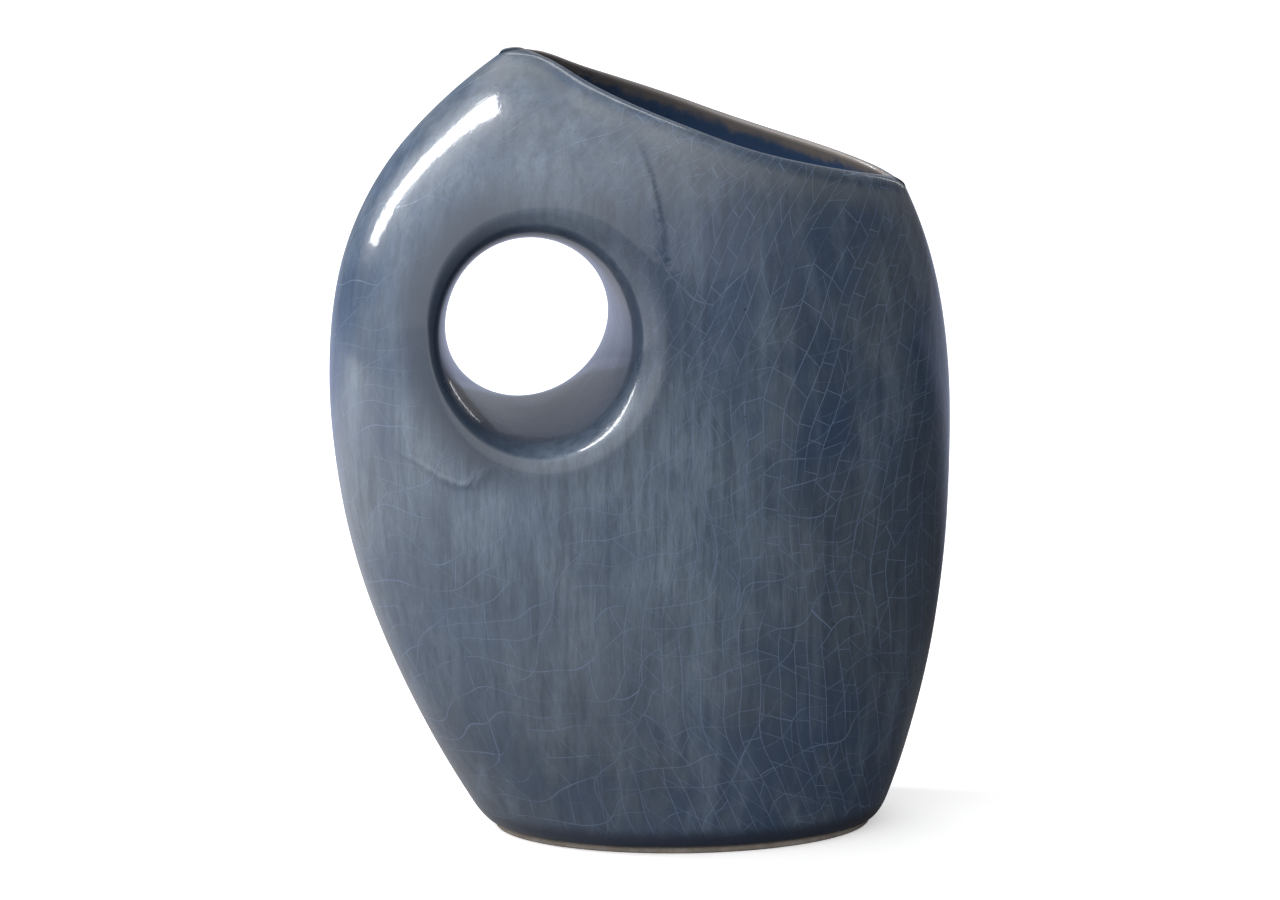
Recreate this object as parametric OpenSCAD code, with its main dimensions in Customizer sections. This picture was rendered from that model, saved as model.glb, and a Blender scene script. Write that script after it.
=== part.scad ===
// Flattened stoneware flower vase with a slanted mouth and a round hand hole.
// X runs across the width, Y through the depth (the front faces -Y) and Z up.
// The origin lies on the floor, under the middle of the whole outline.

/* [Body] */
// Overall width, between the widest points of the two sides
body_w = 196; // [188:1:208]
// Overall height, up to the peak of the lip
body_h = 250; // [243:1:260]
// Overall depth, at the fullest part of the belly
body_d = 98; // [90:1:108]
// Thickness of the clay walls
wall_t = 5; // [4:0.5:6]

/* [Mouth] */
// Distance of the peak from the middle, to the left
peak_offset = 37; // [34:1:40]
// Distance of the mouth's low corner from the middle, to the right
mouth_reach = 82; // [79:1:85]
// How far the mouth drops from the peak to its low corner
mouth_drop = 43; // [38:1:48]
// Height of the rounded crest on the lip
lip_rise = 2.5; // [1:0.5:3]

/* [Hand hole] */
// Width of the hole at its throat
hole_w = 51; // [44:1:53]
// Height of the hole at its throat
hole_h = 56; // [48:1:60]
// Distance of the hole's axis from the middle, to the left
hole_offset = 35.5; // [33:0.5:37]
// Height of the hole's axis above the floor
hole_level = 163; // [156:1:166]
// Width of the rounded funnel at the upper right, where it is widest
funnel_w = 13; // [10:1:14]
// Width of the funnel at the lower left, where it is narrowest
funnel_narrow_w = 7; // [5:1:9]

/* [Foot] */
// Width of the base where the sides meet the floor
base_w = 124; // [116:1:132]
// Depth of the base where the faces meet the floor
base_d = 84; // [78:1:90]
// Offset of the base from the middle, to the right
base_offset = 13.5; // [11:0.5:16]
// Thickness of the floor slab
slab_t = 6; // [5:0.5:8]
// Roundness of the slab's lower edge, measured inward
edge_inset = 2; // [1:0.5:4]
// Height of the unglazed ring that the vase stands on
ring_h = 2; // [1:0.5:3]
// Width of the unglazed ring
ring_w = 6; // [4:0.5:9]

/* [Hidden] */

GLAZE = "#62728a";
GLAZE_INSIDE_HOLE = "#55647c";
BARE_CLAY = "#b5a48f";

FRONT = -1;
REAR = 1;

half_w = body_w / 2;
half_d = body_d / 2;
peak_x = -peak_offset;
low_z = body_h - mouth_drop;
seat_z = ring_h + slab_t;
hole_x = -hole_offset;
hole_stretch = hole_h / hole_w;
throat_r = hole_w / 2;
joint_margin = 1;
joint_r = throat_r + funnel_w + wall_t + joint_margin;
ring_inset = edge_inset + 1;

// Outline curves, each a list of [position, value, slope] knots joined by cubics.
// Left and right sides: x against z.
LEFT_SIDE = [
    [0, base_offset - base_w / 2, -0.66],
    [0.58 * body_h, -half_w, 0],
    [body_h, peak_x - 4, 1.45]
];
RIGHT_SIDE = [
    [0, base_offset + base_w / 2, 0.42],
    [0.49 * body_h, half_w, 0],
    [low_z, mouth_reach, -0.5],
    [body_h + 2, mouth_reach - 40, -1]
];
// Half the depth against z: fullest low down, closing towards the peak.
DEPTH = [
    [0, base_d / 2, 0.2],
    [0.3 * body_h, half_d, 0],
    [0.82 * body_h, 0.93 * half_d, -0.12],
    [0.944 * body_h, 0.58 * half_d, -1.15],
    [body_h + 2, 0.1 * half_d, -1.4]
];
// Top of the lip: z against x, from left of the peak to right of the low corner.
LIP = [
    [peak_x - 12, body_h, 0],
    [peak_x, body_h, 0],
    [peak_x + 17, body_h - 0.17 * mouth_drop, -0.47],
    [peak_x + 57, body_h - 0.55 * mouth_drop, -0.4],
    [mouth_reach - 6, low_z + 2.5, -0.3],
    [mouth_reach + 2, low_z - 1, -0.6]
];

// Direction from the hole's axis in which the funnel is widest, on the unstretched hole.
WIDE_WAY = [cos(60), sin(60)];

// Mesh counts: border steps along each side of a wall, and steps out from the hole.
BASE_STEPS = 20;
RIGHT_STEPS = 18;
LIP_STEPS = 24;
LEFT_STEPS = 26;
RADIAL_STEPS = 11;
CREST_STEPS = 4;
FUNNEL_STEPS = 8;
HIDDEN_STEPS = 6;
EDGE_STEPS = 4;
RING_STEPS = 96;

// ---- Curves -------------------------------------------------------------

function knot_before(knots, t, i = 0) =
    i < len(knots) - 2 && t >= knots[i + 1][0] ? knot_before(knots, t, i + 1) : i;

function curve(knots, t) =
    let (
        i = knot_before(knots, t),
        a = knots[i],
        b = knots[i + 1],
        span = b[0] - a[0],
        s = (t - a[0]) / span,
        s2 = s * s,
        s3 = s2 * s
    )
    (2 * s3 - 3 * s2 + 1) * a[1] + (s3 - 2 * s2 + s) * span * a[2]
        + (3 * s2 - 2 * s3) * b[1] + (s3 - s2) * span * b[2];

function curve_slope(knots, t, step = 0.01) =
    (curve(knots, t + step) - curve(knots, t - step)) / (2 * step);

// Sideways shift that moves a sloping outline inward by the inset.
function sideways(knots, z, inset) = inset * sqrt(1 + pow(curve_slope(knots, z), 2));

function left_x(z, inset) = curve(LEFT_SIDE, z) + sideways(LEFT_SIDE, z, inset);

function right_x(z, inset) = curve(RIGHT_SIDE, z) - sideways(RIGHT_SIDE, z, inset);

function clamp01(s) = min(1, max(0, s));

function smooth(s) = s * s * (3 - 2 * s);

// The level section is an ellipse low down and turns leaner at its ends higher up.
function section_power(z) = 0.5 + 0.12 * smooth(clamp01(z / body_h * 2.5 - 1.2));

// Distance of a face from the middle plane at (x, z).
function face_y(x, z, inset) =
    let (
        left = left_x(z, inset),
        right = right_x(z, inset),
        u = clamp01((x - left) / (right - left))
    )
    (curve(DEPTH, z) - inset) * pow(4 * u * (1 - u), section_power(z));

// ---- Border of a wall: base, right side, lip, left side --------------------

// Steps that crowd towards both ends.
function ease(s) = (1 - cos(180 * s)) / 2;

function half_ease(s) = (s + ease(s)) / 2;

function mix(a, b, s) = a + (b - a) * s;

function edge_z(x) = curve(LIP, x) - lip_rise;

// Height at which a side outline meets the foot of the lip's crest, by halving.
function right_corner_z(inset, lo, hi, n = 22) =
    let (mid = (lo + hi) / 2)
    n == 0 ? mid
        : edge_z(right_x(mid, inset)) > mid ? right_corner_z(inset, mid, hi, n - 1)
        : right_corner_z(inset, lo, mid, n - 1);

function left_corner_z(inset, lo, hi, n = 22) =
    let (mid = (lo + hi) / 2)
    n == 0 ? mid
        : edge_z(left_x(mid, inset)) > mid ? left_corner_z(inset, mid, hi, n - 1)
        : left_corner_z(inset, lo, mid, n - 1);

function border(inset) =
    let (
        right_top = right_corner_z(inset, low_z - 20, low_z + 20),
        left_top = left_corner_z(inset, body_h - 25, body_h + 1),
        base_left = left_x(seat_z, inset),
        base_right = right_x(seat_z, inset),
        lip_right = right_x(right_top, inset),
        lip_left = left_x(left_top, inset)
    )
    concat(
        [for (i = [0 : BASE_STEPS - 1])
            [mix(base_left, base_right, ease(i / BASE_STEPS)), seat_z]],
        [for (i = [0 : RIGHT_STEPS - 1])
            let (z = mix(seat_z, right_top, half_ease(i / RIGHT_STEPS)))
            [right_x(z, inset), z]],
        [for (i = [0 : LIP_STEPS - 1])
            let (x = mix(lip_right, lip_left, ease(i / LIP_STEPS)))
            [x, edge_z(x)]],
        [for (i = [0 : LEFT_STEPS - 1])
            let (z = mix(left_top, seat_z, half_ease(i / LEFT_STEPS)))
            [left_x(z, inset), z]]
    );

LIP_FROM = BASE_STEPS + RIGHT_STEPS;
LIP_TO = LIP_FROM + LIP_STEPS;
BORDER_COUNT = LIP_TO + LEFT_STEPS;

outer_border = border(0);
inner_border = border(wall_t);

// Direction from the hole's axis to each outer border point, on the stretched hole.
spokes = [
    for (p = outer_border)
        let (d = [p[0] - hole_x, (p[1] - hole_level) / hole_stretch])
        d / norm(d)
];

// Point at a given radius along a spoke.
function on_spoke(i, r) =
    [hole_x + r * spokes[i][0], hole_level + r * spokes[i][1] * hole_stretch];

// ---- Walls ----------------------------------------------------------------

// One face of a wall as rings of points, from the sleeve joint out to the border.
function face_rings(side, border_points, inset) = [
    for (k = [0 : RADIAL_STEPS])
        for (i = [0 : BORDER_COUNT - 1])
            let (
                p = mix(on_spoke(i, joint_r), border_points[i], sin(90 * k / RADIAL_STEPS)),
                at_side = k == RADIAL_STEPS && (i < 1 || i >= LIP_TO || (i >= BASE_STEPS && i <= LIP_FROM))
            )
            [p[0], at_side ? 0 : side * face_y(p[0], p[1], inset), p[1]]
];

// Rounded crest of the lip: arcs from the outer edge over to the inner edge.
function crest_points(outer, inner, first) = [
    for (i = [LIP_FROM : LIP_TO])
        for (c = [1 : CREST_STEPS - 1])
            let (
                angle = 180 * c / CREST_STEPS,
                a = outer[first + i],
                b = inner[first + i],
                middle = (a + b) / 2,
                lift = curve(LIP, middle[0]) - middle[2]
            )
            middle + (a - b) / 2 * cos(angle) + [0, 0, lift * sin(angle)]
];

module wall(side) {
    outer = face_rings(side, outer_border, 0);
    inner = face_rings(side, inner_border, wall_t);
    ring = BORDER_COUNT;
    last = RADIAL_STEPS * ring;
    inner_at = len(outer);
    crest_at = inner_at + len(inner);
    crest = CREST_STEPS - 1;
    points = concat(outer, inner, crest_points(outer, inner, last));
    // Crest row at border step i, from the outer edge to the inner edge.
    function crest_row(i) = concat(
        [last + i],
        [for (c = [0 : crest - 1]) crest_at + (i - LIP_FROM) * crest + c],
        [inner_at + last + i]
    );
    faces = concat(
        [for (k = [0 : RADIAL_STEPS - 1]) for (i = [0 : ring - 1])
            let (j = (i + 1) % ring)
            [k * ring + i, k * ring + j, (k + 1) * ring + j, (k + 1) * ring + i]],
        [for (k = [0 : RADIAL_STEPS - 1]) for (i = [0 : ring - 1])
            let (j = (i + 1) % ring, a = inner_at + k * ring)
            [a + j, a + i, a + ring + i, a + ring + j]],
        [for (i = [0 : ring - 1])
            let (j = (i + 1) % ring)
            [j, i, inner_at + i, inner_at + j]],
        [for (i = [0 : ring - 1])
            let (j = (i + 1) % ring)
            if (i < LIP_FROM || i >= LIP_TO)
                [last + i, last + j, inner_at + last + j, inner_at + last + i]],
        [for (i = [LIP_FROM : LIP_TO - 1])
            let (a = crest_row(i), b = crest_row(i + 1))
            for (c = [0 : CREST_STEPS - 1]) [a[c], b[c], b[c + 1], a[c + 1]]],
        [crest_row(LIP_FROM)],
        [[for (c = [CREST_STEPS : -1 : 0]) crest_row(LIP_TO)[c]]]
    );
    polyhedron(points, side == FRONT ? faces : [for (f = faces) [for (v = [len(f) - 1 : -1 : 0]) f[v]]]);
}

module front_wall() {
    color(GLAZE) wall(FRONT);
}

module rear_wall() {
    color(GLAZE) wall(REAR);
}

// ---- Hand hole --------------------------------------------------------------

// Width of the funnel along a spoke.
function funnel_width(i) =
    mix(funnel_narrow_w, funnel_w, smooth((1 + spokes[i] * WIDE_WAY) / 2));

// Section of the sleeve as [radius, inset, share of the face's distance from the middle].
function funnel_section(i, inset, steps) = concat(
    [[joint_r, inset, -1]],
    [for (k = [-steps : steps])
        let (angle = 90 * k / steps)
        [throat_r + inset + funnel_width(i) * (1 - cos(angle)), inset, sin(angle)]],
    [[joint_r, inset, 1]]
);

module hand_hole_sleeve() {
    seen_count = 2 * FUNNEL_STEPS + 3;
    hidden_count = 2 * HIDDEN_STEPS + 3;
    count = seen_count + hidden_count;
    points = [
        for (i = [0 : BORDER_COUNT - 1])
            let (
                seen = funnel_section(i, 0, FUNNEL_STEPS),
                hidden_side = funnel_section(i, wall_t, HIDDEN_STEPS),
                section = concat(seen, [for (k = [hidden_count - 1 : -1 : 0]) hidden_side[k]])
            )
            for (s = section)
                let (p = on_spoke(i, s[0]))
                [p[0], s[2] * face_y(p[0], p[1], s[1]), p[1]]
    ];
    faces = [
        for (i = [0 : BORDER_COUNT - 1])
            for (k = [0 : count - 1])
                let (
                    a = i * count,
                    b = (i + 1) % BORDER_COUNT * count,
                    n = (k + 1) % count
                )
                [a + k, a + n, b + n, b + k]
    ];
    color(GLAZE_INSIDE_HOLE) polyhedron(points, faces);
}

// ---- Floor and foot -----------------------------------------------------------

// Level outline of the body at height z: along the front, then back along the rear.
function level_outline(z, inset) =
    let (left = left_x(z, inset), right = right_x(z, inset))
    concat(
        [for (i = [0 : BASE_STEPS])
            let (x = mix(left, right, ease(i / BASE_STEPS)))
            [x, i % BASE_STEPS == 0 ? 0 : -face_y(x, z, inset), z]],
        [for (i = [BASE_STEPS - 1 : -1 : 1])
            let (x = mix(left, right, ease(i / BASE_STEPS)))
            [x, face_y(x, z, inset), z]]
    );

module floor_slab() {
    ring = 2 * BASE_STEPS;
    points = [
        for (k = [0 : EDGE_STEPS])
            let (angle = 90 * k / EDGE_STEPS)
            for (p = level_outline(ring_h + slab_t * (1 - cos(angle)), edge_inset * (1 - sin(angle)))) p
    ];
    faces = concat(
        [for (k = [0 : EDGE_STEPS - 1]) for (i = [0 : ring - 1])
            let (j = (i + 1) % ring)
            [k * ring + j, k * ring + i, (k + 1) * ring + i, (k + 1) * ring + j]],
        [[for (i = [0 : ring - 1]) i]],
        [[for (i = [ring - 1 : -1 : 0]) EDGE_STEPS * ring + i]]
    );
    color(GLAZE) polyhedron(points, faces);
}

function ellipse_outline(half_length, half_width) = [
    for (i = [0 : RING_STEPS - 1])
        let (angle = 360 * i / RING_STEPS)
        [half_length * cos(angle), half_width * sin(angle)]
];

module foot_ring() {
    left = left_x(ring_h, ring_inset);
    right = right_x(ring_h, ring_inset);
    half_length = (right - left) / 2;
    half_width = curve(DEPTH, ring_h) - ring_inset;
    color(BARE_CLAY)
        translate([(left + right) / 2, 0, 0])
            linear_extrude(ring_h)
                difference() {
                    polygon(ellipse_outline(half_length, half_width));
                    polygon(ellipse_outline(half_length - ring_w, half_width - ring_w));
                }
}

front_wall();
rear_wall();
hand_hole_sleeve();
floor_slab();
foot_ring();
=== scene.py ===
import math

import bpy
import numpy as np
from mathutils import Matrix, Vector


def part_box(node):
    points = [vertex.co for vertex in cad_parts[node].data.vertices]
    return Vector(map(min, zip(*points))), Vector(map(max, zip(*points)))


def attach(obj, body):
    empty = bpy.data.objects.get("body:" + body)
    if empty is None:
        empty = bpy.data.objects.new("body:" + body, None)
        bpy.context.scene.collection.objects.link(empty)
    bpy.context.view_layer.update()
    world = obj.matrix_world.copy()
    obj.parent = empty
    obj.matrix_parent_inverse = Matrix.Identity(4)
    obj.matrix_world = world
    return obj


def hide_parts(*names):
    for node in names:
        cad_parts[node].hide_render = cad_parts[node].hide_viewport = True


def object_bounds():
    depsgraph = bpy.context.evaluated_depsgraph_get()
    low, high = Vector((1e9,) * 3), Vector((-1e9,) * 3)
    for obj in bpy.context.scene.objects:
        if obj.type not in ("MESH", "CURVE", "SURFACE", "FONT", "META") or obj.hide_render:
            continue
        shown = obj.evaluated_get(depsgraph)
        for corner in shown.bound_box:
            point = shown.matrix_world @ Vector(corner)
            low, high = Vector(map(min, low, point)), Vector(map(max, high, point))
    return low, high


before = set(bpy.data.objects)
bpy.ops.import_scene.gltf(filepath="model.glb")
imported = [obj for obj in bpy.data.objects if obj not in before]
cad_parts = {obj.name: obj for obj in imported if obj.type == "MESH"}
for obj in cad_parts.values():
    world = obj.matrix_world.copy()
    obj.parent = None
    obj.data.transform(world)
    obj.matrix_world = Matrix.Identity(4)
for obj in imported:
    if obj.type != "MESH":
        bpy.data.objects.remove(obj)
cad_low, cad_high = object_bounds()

MM = 0.001

# ---- Sizes, in metres -----------------------------------------------------

slab_low, slab_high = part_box("floor_slab")
sleeve_low, sleeve_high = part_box("hand_hole_sleeve")
ring_low, ring_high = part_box("foot_ring")

HEIGHT = cad_high.z
RING_H = ring_high.z
SEAT_Z = slab_high.z
BELLY_SWELL = 0.27 * MM  # how far the faces swell past their knot at the belly
BELLY = cad_high.y - BELLY_SWELL
WALL_T = 5 * MM

PEAK_X = -37 * MM
MOUTH_DROP = 43 * MM
LOW_Z = HEIGHT - MOUTH_DROP
MOUTH_REACH = 82 * MM
LIP_RISE = 2.5 * MM

HOLE_X = (sleeve_low.x + sleeve_high.x) / 2
HOLE_Z = (sleeve_low.z + sleeve_high.z) / 2
JOINT_R = (sleeve_high.x - sleeve_low.x) / 2
HOLE_STRETCH = (sleeve_high.z - sleeve_low.z) / (sleeve_high.x - sleeve_low.x)
FUNNEL_W = 13 * MM
FUNNEL_NARROW_W = 7 * MM
JOINT_MARGIN = 1 * MM
THROAT_R = JOINT_R - FUNNEL_W - WALL_T - JOINT_MARGIN
WIDE_WAY = math.radians(60)

EDGE_INSET = 2 * MM
RING_W = 6 * MM
RING_BEVEL = 0.6 * MM
BEVEL_ANGLES = (0.5, 1.05)  # radians round the ring's eased edges
CAP_EDGE = 1 * MM  # width of the border on the slab's flat faces
WELD = 0.001 * MM  # points closer than this share one normal

# Outline curves as (position, value, slope) knots joined by cubics.
LEFT_SIDE = [
    (SEAT_Z, slab_low.x, -0.627),
    (0.58 * HEIGHT, cad_low.x, 0),
    (HEIGHT, PEAK_X - 4 * MM, 1.45),
]
RIGHT_SIDE = [
    (SEAT_Z, slab_high.x, 0.383),
    (0.49 * HEIGHT, cad_high.x, 0),
    (LOW_Z, MOUTH_REACH, -0.5),
    (HEIGHT + 2 * MM, MOUTH_REACH - 40 * MM, -1),
]
DEPTH = [
    (SEAT_Z, slab_high.y, 0.175),
    (0.3 * HEIGHT, BELLY, 0),
    (0.82 * HEIGHT, 0.93 * BELLY, -0.12),
    (0.944 * HEIGHT, 0.58 * BELLY, -1.15),
    (HEIGHT + 2 * MM, 0.1 * BELLY, -1.4),
]
LIP = [
    (PEAK_X - 12 * MM, HEIGHT, 0),
    (PEAK_X, HEIGHT, 0),
    (PEAK_X + 17 * MM, HEIGHT - 0.17 * MOUTH_DROP, -0.47),
    (PEAK_X + 57 * MM, HEIGHT - 0.55 * MOUTH_DROP, -0.4),
    (MOUTH_REACH - 6 * MM, LOW_Z + 2.5 * MM, -0.3),
    (MOUTH_REACH + 2 * MM, LOW_Z - 1 * MM, -0.6),
]

# Level sections: power 0.5 is an ellipse, and a higher power is sharper at the sides.
SECTION_POWER = 0.5
SECTION_SHARPER = 0.12
SHARPER_FROM = 0.48  # share of the height where the power starts to rise
SHARPER_OVER = 0.4  # share of the height over which it rises

# Heights searched for the corners of a wall, either side of where they should be.
HALVINGS = 40
LOW_SEARCH = 20 * MM
PEAK_SEARCH = 25 * MM
PAST_PEAK = 1 * MM

# Mesh counts: steps along the border of a wall, and rings out from the hole.
BASE_STEPS = 72
RIGHT_STEPS = 112
LIP_STEPS = 128
LEFT_STEPS = 168
OUTER_RINGS = {-1: 96, 1: 52}  # front and rear
INNER_RINGS = 20
CREST_STEPS = 12
CREST_FADE = 10  # steps over which the crest eases down to the mouth's low corner
CREST_END = 0.75  # height of the crest there, as a share of the rest
CREST_PULL = 1.25  # how far the crest's curve is pulled up, in lip rises
FUNNEL_STEPS = 30
FUNNEL_RIM_STEPS = 5
HIDDEN_STEPS = 8
EDGE_STEPS = 10
RING_STEPS = 240
LIP_FROM = BASE_STEPS + RIGHT_STEPS
LIP_TO = LIP_FROM + LIP_STEPS
BORDER = LIP_TO + LEFT_STEPS

# Values stored on the points: the lip's crest runs from 0 to -CREST_SPAN, and FAR is
# the value of a point that is near neither the lip nor the hole.
CREST_SPAN = 6
FAR = 60.0

# Seams where the potter luted pieces together, as (x, z) points in mm on the front face.
NECK_SEAM = [(-5, 227), (-2.5, 221), (-1, 217), (0.2, 212), (1.3, 207), (2.8, 200), (4, 191)]
ARM_SEAM = [(-78, 128.5), (-71, 124.8), (-65, 121), (-59, 118.8), (-54.5, 120), (-50, 123)]
SEAM_RISE = 0.65 * MM
SEAM_W = 0.75 * MM
SEAM_END = 0.02  # share of the seam's length at each end where it stays shallow
SMEAR_SHARE = 0.5  # height of the smeared clay, as a share of the seam's
SMEAR_W = 4 * MM
SEAM_LEAST_Y = 5 * MM  # nearer the middle plane than this there is no seam

# Waviness in mm: the mean inward shift, and the heights of its long and short waves.
WAVE_MEAN = 0.34
WAVE_SWELL = 0.16
WAVE_RIPPLE = 0.06

# Wiped-down roll along the funnel's crest: direction, place inside the crest, size.
ROLL_WAY = math.radians(-40)
ROLL_AT = 2.5 * MM
ROLL_W = 3 * MM
ROLL_DEPTH = 1.8 * MM
ROLL_LEAST = 0.25  # size of the roll opposite ROLL_WAY, as a share of ROLL_DEPTH
ROLL_FROM = 0.5  # share of the face's depth where the roll begins
ROLL_FADE = 0.4  # share of the depth over which it grows to its full size

# How far the crackle's long and short lines wander from straight.
LONG_SWAY = 28 * MM
CROSS_SWAY = 22 * MM


# ---- Shape of the body ----------------------------------------------------


def curve(knots, t):
    """Values at t of the cubics through the knots."""
    table = np.array(knots, dtype=float)
    t = np.asarray(t, dtype=float)
    i = np.clip(np.searchsorted(table[:, 0], t, side="right") - 1, 0, len(table) - 2)
    a, b = table[i], table[i + 1]
    span = b[..., 0] - a[..., 0]
    s = (t - a[..., 0]) / span
    rise = (2 * s**3 - 3 * s**2 + 1) * a[..., 1] + (3 * s**2 - 2 * s**3) * b[..., 1]
    return rise + ((s**3 - 2 * s**2 + s) * a[..., 2] + (s**3 - s**2) * b[..., 2]) * span


def slope(knots, t, step=0.01 * MM):
    """Slope of the curve at t."""
    return (curve(knots, t + step) - curve(knots, t - step)) / (2 * step)


def left_x(z, inset):
    """x of the body's left side at z, moved in by the inset."""
    return curve(LEFT_SIDE, z) + inset * np.sqrt(1 + slope(LEFT_SIDE, z) ** 2)


def right_x(z, inset):
    """x of the body's right side at z, moved in by the inset."""
    return curve(RIGHT_SIDE, z) - inset * np.sqrt(1 + slope(RIGHT_SIDE, z) ** 2)


def smooth(s):
    """0 to 1 as s goes from 0 to 1, eased at both ends."""
    s = np.clip(s, 0, 1)
    return s * s * (3 - 2 * s)


def mix(a, b, s):
    """The value a share s of the way from a to b."""
    return a + (b - a) * s


def section_power(z):
    """Power of the level section at z."""
    return SECTION_POWER + SECTION_SHARPER * smooth((z / HEIGHT - SHARPER_FROM) / SHARPER_OVER)


def face_y(x, z, inset):
    """Distance of a face from the middle plane at (x, z)."""
    left, right = left_x(z, inset), right_x(z, inset)
    u = np.clip((x - left) / (right - left), 0, 1)
    return (curve(DEPTH, z) - inset) * (4 * u * (1 - u)) ** section_power(z)


def round_arc(x, z, steps=24):
    """Distance round the body from its left side to (x, z), along a level section."""
    left, right = left_x(z, 0), right_x(z, 0)
    end = np.arccos(1 - 2 * np.clip((x - left) / (right - left), 0, 1))
    turn = end[:, None] * (np.arange(steps) + 0.5) / steps
    power = 2 * section_power(z)[:, None]
    across = (right - left)[:, None] / 2 * np.sin(turn)
    deep = curve(DEPTH, z)[:, None] * power * np.sin(turn) ** (power - 1) * np.cos(turn)
    return np.hypot(across, deep).sum(axis=1) * end / steps


def edge_z(x):
    """Height of the foot of the lip's crest at x."""
    return curve(LIP, x) - LIP_RISE


def ease(count):
    """Shares of a line from 0 up to 1, without 1, closer together at both ends."""
    return (1 - np.cos(math.pi * np.arange(count) / count)) / 2


def half_ease(count):
    """Halfway between ease and even steps."""
    return (np.arange(count) / count + ease(count)) / 2


def corner_z(side_x, inset, low, high):
    """Height at which a side outline meets the foot of the lip's crest, by halving."""
    for _ in range(HALVINGS):
        middle = (low + high) / 2
        if edge_z(side_x(middle, inset)) > middle:
            low = middle
        else:
            high = middle
    return low


def border(inset):
    """(x, z) points round a wall: base, right side, lip, left side."""
    right_top = corner_z(right_x, inset, LOW_Z - LOW_SEARCH, LOW_Z + LOW_SEARCH)
    left_top = corner_z(left_x, inset, HEIGHT - PEAK_SEARCH, HEIGHT + PAST_PEAK)
    base_x = mix(left_x(SEAT_Z, inset), right_x(SEAT_Z, inset), ease(BASE_STEPS))
    right_z = mix(SEAT_Z, right_top, half_ease(RIGHT_STEPS))
    lip_x = mix(right_x(right_top, inset), left_x(left_top, inset), ease(LIP_STEPS))
    left_z = mix(left_top, SEAT_Z, half_ease(LEFT_STEPS))
    parts = [
        (base_x, np.full(BASE_STEPS, SEAT_Z)),
        (right_x(right_z, inset), right_z),
        (lip_x, edge_z(lip_x)),
        (left_x(left_z, inset), left_z),
    ]
    return np.concatenate([np.stack(p, axis=1) for p in parts])


outer_border = border(0)
inner_border = border(WALL_T)

# Directions from the hole's axis to the outer border points, on the stretched hole.
spokes = (outer_border - [HOLE_X, HOLE_Z]) / [1, HOLE_STRETCH]
spokes /= np.linalg.norm(spokes, axis=1)[:, None]
# The border points that lie on the middle plane, where the two walls meet.
at_side = np.zeros(BORDER, dtype=bool)
at_side[[0, *range(BASE_STEPS, LIP_FROM + 1), *range(LIP_TO, BORDER)]] = True

# Width of the funnel on each spoke.
funnel_w = mix(
    FUNNEL_NARROW_W,
    FUNNEL_W,
    smooth((1 + spokes @ [math.cos(WIDE_WAY), math.sin(WIDE_WAY)]) / 2),
)


def on_spokes(radius):
    """(x, z) points at the radius, one on each spoke."""
    radius = np.broadcast_to(radius, BORDER)[:, None]
    return [HOLE_X, HOLE_Z] + radius * spokes * [1, HOLE_STRETCH]


# ---- Hand-made surface ------------------------------------------------------


def distance_to_line(points, line):
    """Distance of (x, z) points from an open line of (x, z) points in mm, which side of
    the line they are on, and how far along it, as a share."""
    best = np.full(len(points), np.inf)
    side = np.zeros(len(points))
    along = np.zeros(len(points))
    line = np.array(line) * MM
    for n, (a, b) in enumerate(zip(line[:-1], line[1:])):
        d = b - a
        s = np.clip(((points - a) @ d) / (d @ d), 0, 1)
        gap = points - (a + s[:, None] * d)
        far = np.linalg.norm(gap, axis=1)
        nearer = far < best
        best = np.where(nearer, far, best)
        side = np.where(nearer, np.sign(d[0] * gap[:, 1] - d[1] * gap[:, 0]), side)
        along = np.where(nearer, (n + s) / (len(line) - 1), along)
    return best, side, along


def seam_rise(p, line, high_side):
    """Height of a luted seam: a thin ridge, with clay smeared down on one side of it."""
    far, side, along = distance_to_line(p[:, [0, 2]], line)
    fade = np.sqrt(np.sin(math.pi * np.clip(along, SEAM_END, 1 - SEAM_END)))
    ridge = SEAM_RISE * np.exp(-((far / SEAM_W) ** 2))
    smear = SMEAR_SHARE * SEAM_RISE * np.exp(-far / SMEAR_W) * (side == high_side)
    return np.where(p[:, 1] < -SEAM_LEAST_Y, fade * (ridge + smear), 0)


def waviness(p):
    """How far the hand-built surface lies inside the drawn one, always above zero.
    Each divisor is the length in mm over which its wave turns by one radian."""
    x, y, z = (p / MM).T
    swell = np.sin(x / 17 + 0.8 * np.sin(z / 31)) * np.sin(z / 23 + 1.1)
    ripple = np.sin(x / 7.3 + z / 19 + 2) * np.sin(z / 11 - x / 29 + y / 15)
    return (WAVE_MEAN + WAVE_SWELL * swell + WAVE_RIPPLE * ripple) * MM


def crest_roll(p):
    """Extra depth where the funnel's crest was wiped down, most at the lower right."""
    d = (p[:, [0, 2]] - [HOLE_X, HOLE_Z]) / [1, HOLE_STRETCH]
    way = unit(d) @ [math.cos(ROLL_WAY), math.sin(ROLL_WAY)]
    reach = (hole_distance(p[:, [0, 2]]) * MM + ROLL_AT) / ROLL_W
    amount = mix(ROLL_LEAST, 1, smooth((1 + way) / 2))
    share = np.abs(p[:, 1]) / np.maximum(face_y(p[:, 0], p[:, 2], 0), MM)
    return ROLL_DEPTH * amount * np.exp(-(reach**2)) * smooth((share - ROLL_FROM) / ROLL_FADE)


def inward(p):
    """Inward shift of the seen surface at p: the waviness, less the raised seams."""
    seams = seam_rise(p, NECK_SEAM, -1) + seam_rise(p, ARM_SEAM, 1)
    return waviness(p) - seams


# ---- Pieces as arrays of points and faces -------------------------------------


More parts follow.
